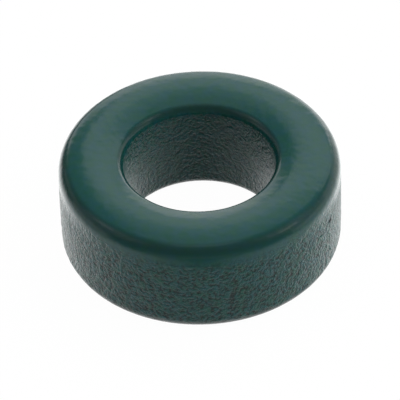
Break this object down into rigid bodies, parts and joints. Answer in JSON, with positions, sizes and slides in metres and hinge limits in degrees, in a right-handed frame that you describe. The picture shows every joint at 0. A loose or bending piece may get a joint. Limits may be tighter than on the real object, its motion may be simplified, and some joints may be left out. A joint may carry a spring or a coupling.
{
  "type": "ferrite toroid core",
  "caption": "Round ferrite ring with a green epoxy coat, rounded corners and an open bore, to be wound with wire as an inductor or choke.",
  "frame": {"origin": "centre of the lower face, where the axis of the bore meets the surface that the ring lies on", "axes": "+Z along the axis of the bore, up; the ring is round about it, so +X and +Y are any two directions across it"},
  "size_m": [0.0182, 0.0182, 0.0071],
  "materials": {
    "green_epoxy_coat": "satin, with a fine pebble on the walls"
  },
  "bodies": {
    "root": {"toroid_core": "green_epoxy_coat"}
  },
  "joints": []
}
